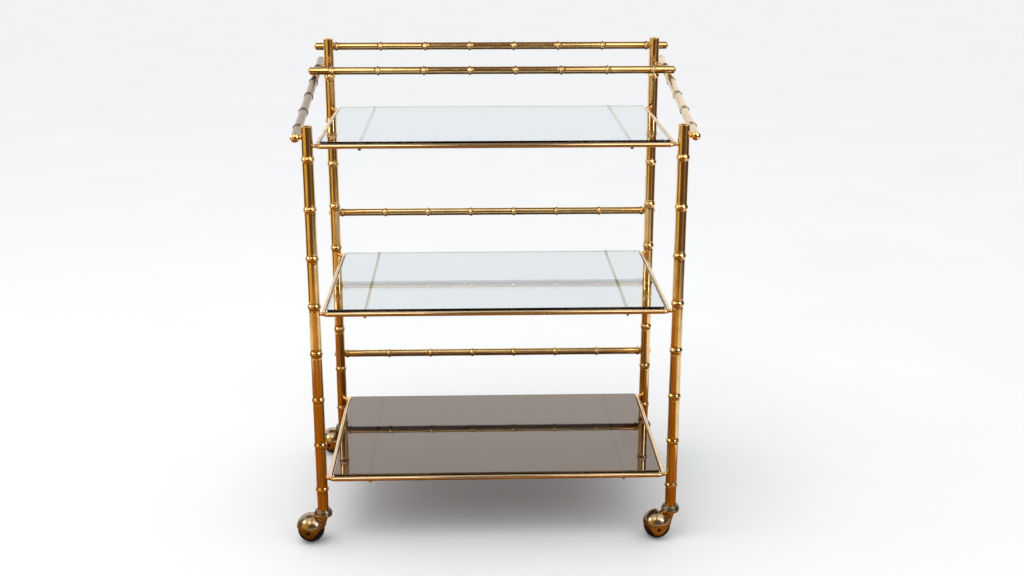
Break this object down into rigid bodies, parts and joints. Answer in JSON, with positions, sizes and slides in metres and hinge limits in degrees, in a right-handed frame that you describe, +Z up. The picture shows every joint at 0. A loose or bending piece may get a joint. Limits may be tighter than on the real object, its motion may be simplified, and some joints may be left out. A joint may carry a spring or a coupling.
{
  "type": "bar cart",
  "caption": "Rolling bar cart with bamboo-look brass posts and rails, inset smoked glass shelves, sloping side rails and swivelling ball casters.",
  "frame": {"origin": "middle of the overall box on the floor, with the casters trailing to the left", "axes": "+X to the right seen from the front, +Y towards the back with the high posts, +Z up"},
  "size_m": [0.6992, 0.4607, 0.85],
  "materials": {
    "tube_brass": "polished, lightly tarnished",
    "rod_brass": "polished, lightly tarnished",
    "caster_brass": "tarnished, pewter toned",
    "steel": "plain turned",
    "rubber": "matte black",
    "smoked_glass": "polished, grey-brown smoked"
  },
  "bodies": {
    "frame": {"front_left_post": "tube_brass", "front_right_post": "tube_brass", "back_left_post": "tube_brass", "back_right_post": "tube_brass", "post_caps": "tube_brass", "top_back_rail": "tube_brass", "middle_back_rail": "tube_brass", "lower_back_rail": "tube_brass", "cross_rail": "tube_brass", "left_side_rail": "tube_brass", "right_side_rail": "tube_brass", "rail_end_caps": "tube_brass", "rail_stubs": "tube_brass", "rail_saddles": "tube_brass", "top_shelf_frame": "rod_brass", "top_cross_rods": "rod_brass", "top_corner_pins": "rod_brass", "middle_shelf_frame": "rod_brass", "middle_cross_rods": "rod_brass", "middle_corner_pins": "rod_brass", "bottom_shelf_frame": "rod_brass", "bottom_cross_rods": "rod_brass", "bottom_corner_pins": "rod_brass", "front_left_socket": "caster_brass", "front_right_socket": "caster_brass", "back_left_socket": "caster_brass", "back_right_socket": "caster_brass"},
    "top_pane": {"top_glass": "smoked_glass"},
    "middle_pane": {"middle_glass": "smoked_glass"},
    "bottom_pane": {"bottom_glass": "smoked_glass"},
    "front_left_swivel": {"front_left_hood": "caster_brass", "front_left_stem": "steel", "front_left_axle": "steel"},
    "front_left_roller": {"front_left_wheel": "caster_brass", "front_left_tyre": "rubber"},
    "front_right_swivel": {"front_right_hood": "caster_brass", "front_right_stem": "steel", "front_right_axle": "steel"},
    "front_right_roller": {"front_right_wheel": "caster_brass", "front_right_tyre": "rubber"},
    "back_left_swivel": {"back_left_hood": "caster_brass", "back_left_stem": "steel", "back_left_axle": "steel"},
    "back_left_roller": {"back_left_wheel": "caster_brass", "back_left_tyre": "rubber"},
    "back_right_swivel": {"back_right_hood": "caster_brass", "back_right_stem": "steel", "back_right_axle": "steel"},
    "back_right_roller": {"back_right_wheel": "caster_brass", "back_right_tyre": "rubber"}
  },
  "joints": [
    {"name": "top_glass_lift", "type": "slide", "parent": "frame", "child": "top_pane", "axis": [0, 0, 1], "range_m": [0, 0.04]},
    {"name": "middle_glass_lift", "type": "slide", "parent": "frame", "child": "middle_pane", "axis": [0, 0, 1], "range_m": [0, 0.04]},
    {"name": "bottom_glass_lift", "type": "slide", "parent": "frame", "child": "bottom_pane", "axis": [0, 0, 1], "range_m": [0, 0.04]},
    {"name": "front_left_swivel_turn", "type": "hinge", "parent": "frame", "child": "front_left_swivel", "pos_m": [-0.3013, -0.20449, 0.0623], "axis": [0, 0, 1], "continuous": true},
    {"name": "front_left_wheel_roll", "type": "hinge", "parent": "front_left_swivel", "child": "front_left_roller", "pos_m": [-0.32417, -0.20209, 0.0238], "axis": [-0.1045, -0.9945, 0], "continuous": true},
    {"name": "front_right_swivel_turn", "type": "hinge", "parent": "frame", "child": "front_right_swivel", "pos_m": [0.3187, -0.20449, 0.0623], "axis": [0, 0, 1], "continuous": true},
    {"name": "front_right_wheel_roll", "type": "hinge", "parent": "front_right_swivel", "child": "front_right_roller", "pos_m": [0.29571, -0.2053, 0.0238], "axis": [0.0349, -0.9994, 0], "continuous": true},
    {"name": "back_left_swivel_turn", "type": "hinge", "parent": "frame", "child": "back_left_swivel", "pos_m": [-0.3013, 0.18751, 0.0623], "axis": [0, 0, 1], "continuous": true},
    {"name": "back_left_wheel_roll", "type": "hinge", "parent": "back_left_swivel", "child": "back_left_roller", "pos_m": [-0.32352, 0.19346, 0.0238], "axis": [-0.2588, -0.9659, 0], "continuous": true},
    {"name": "back_right_swivel_turn", "type": "hinge", "parent": "frame", "child": "back_right_swivel", "pos_m": [0.3187, 0.18751, 0.0623], "axis": [0, 0, 1], "continuous": true},
    {"name": "back_right_wheel_roll", "type": "hinge", "parent": "back_right_swivel", "child": "back_right_roller", "pos_m": [0.2957, 0.18751, 0.0238], "axis": [0, -1, 0], "continuous": true}
  ]
}
